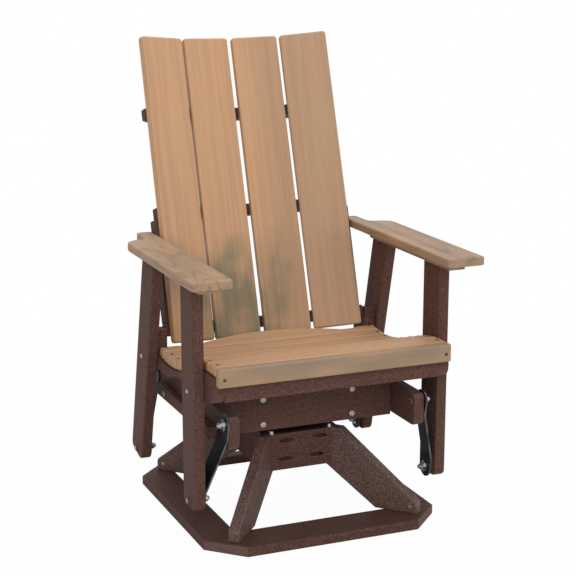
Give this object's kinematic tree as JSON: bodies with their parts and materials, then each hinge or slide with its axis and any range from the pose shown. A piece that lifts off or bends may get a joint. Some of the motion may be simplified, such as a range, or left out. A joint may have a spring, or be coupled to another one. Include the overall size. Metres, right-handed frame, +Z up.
{
  "type": "adirondack swivel glider chair",
  "caption": "Outdoor swivel glider armchair with a tall curved slatted back and flat arms, hung on swinging links from a frame that turns on a bearing above a low floor base.",
  "frame": {"origin": "centre of the whole chair's bounding box in plan, at the floor", "axes": "+Z up, the front of the chair towards -Y, +X to the right as seen from the front"},
  "size_m": [0.759, 0.7766, 1.208],
  "materials": {
    "tan_poly": "satin, wood-look streaks",
    "brown_poly": "satin, fine texture",
    "black_steel": "black coated"
  },
  "bodies": {
    "base": {"base_front_board": "brown_poly", "base_rear_board": "brown_poly", "base_left_board": "brown_poly", "base_right_board": "brown_poly", "strut_front_left": "brown_poly", "strut_front_right": "brown_poly", "strut_rear_left": "brown_poly", "strut_rear_right": "brown_poly", "hub_front_board": "brown_poly", "hub_rear_board": "brown_poly", "hub_left_board": "brown_poly", "hub_right_board": "brown_poly", "swivel_lower_plate": "black_steel", "swivel_ball_ring": "black_steel"},
    "swivel_frame": {"swivel_upper_plate": "black_steel", "swivel_board": "brown_poly", "frame_front_cross_board": "brown_poly", "frame_rear_cross_board": "brown_poly", "frame_left_inner_board": "brown_poly", "frame_right_inner_board": "brown_poly", "frame_left_rail": "brown_poly", "frame_right_rail": "brown_poly", "left_stop_strip": "brown_poly", "right_stop_strip": "brown_poly"},
    "link_front_left": {"link_front_left": "black_steel"},
    "link_front_right": {"link_front_right": "black_steel"},
    "link_rear_left": {"link_rear_left": "black_steel"},
    "link_rear_right": {"link_rear_right": "black_steel"},
    "seat": {"front_leg_left": "brown_poly", "front_leg_right": "brown_poly", "rear_leg_left": "brown_poly", "rear_leg_right": "brown_poly", "seat_left_rail": "brown_poly", "seat_right_rail": "brown_poly", "seat_front_rail": "brown_poly", "seat_nose_board": "tan_poly", "seat_slat_1": "tan_poly", "seat_slat_2": "tan_poly", "seat_slat_3": "tan_poly", "seat_slat_4": "tan_poly", "seat_slat_5": "tan_poly", "seat_slat_6": "tan_poly", "seat_slat_7": "tan_poly", "seat_slat_8": "tan_poly", "seat_slat_9": "tan_poly", "back_slat_1": "tan_poly", "back_slat_2": "tan_poly", "back_slat_3": "tan_poly", "back_slat_4": "tan_poly", "back_left_upright": "brown_poly", "back_right_upright": "brown_poly", "back_lower_rail": "brown_poly", "back_middle_rail": "brown_poly", "back_upper_rail": "brown_poly", "left_arm": "tan_poly", "right_arm": "tan_poly", "left_arm_support": "tan_poly", "right_arm_support": "tan_poly"}
  },
  "joints": [
    {"name": "swivel", "type": "hinge", "parent": "base", "child": "swivel_frame", "pos_m": [0, -0.0164, 0.2286], "axis": [0, 0, 1], "continuous": true},
    {"name": "glide", "type": "hinge", "parent": "swivel_frame", "child": "link_front_left", "pos_m": [-0.2665, -0.2879, 0.3252], "axis": [1, 0, 0], "range_deg": [-10, 10]},
    {"name": "seat_turn", "type": "hinge", "parent": "link_front_left", "child": "seat", "pos_m": [-0.3105, -0.2303, 0.1227], "axis": [1, 0, 0], "range_deg": [-12.8, 12.8]},
    {"name": "link_front_right_turn", "type": "hinge", "parent": "swivel_frame", "child": "link_front_right", "pos_m": [0.2665, -0.2879, 0.3252], "axis": [1, 0, 0], "range_deg": [-10, 10]},
    {"name": "link_rear_left_turn", "type": "hinge", "parent": "swivel_frame", "child": "link_rear_left", "pos_m": [-0.2665, 0.2551, 0.3252], "axis": [1, 0, 0], "range_deg": [-10, 10]},
    {"name": "link_rear_right_turn", "type": "hinge", "parent": "swivel_frame", "child": "link_rear_right", "pos_m": [0.2665, 0.2551, 0.3252], "axis": [1, 0, 0], "range_deg": [-10, 10]}
  ],
  "couplings": [
    {"joint": "seat_turn", "follows": "glide", "ratio": -1.27},
    {"joint": "link_front_right_turn", "follows": "glide", "ratio": 1},
    {"joint": "link_rear_left_turn", "follows": "glide", "ratio": 1},
    {"joint": "link_rear_right_turn", "follows": "glide", "ratio": 1}
  ]
}
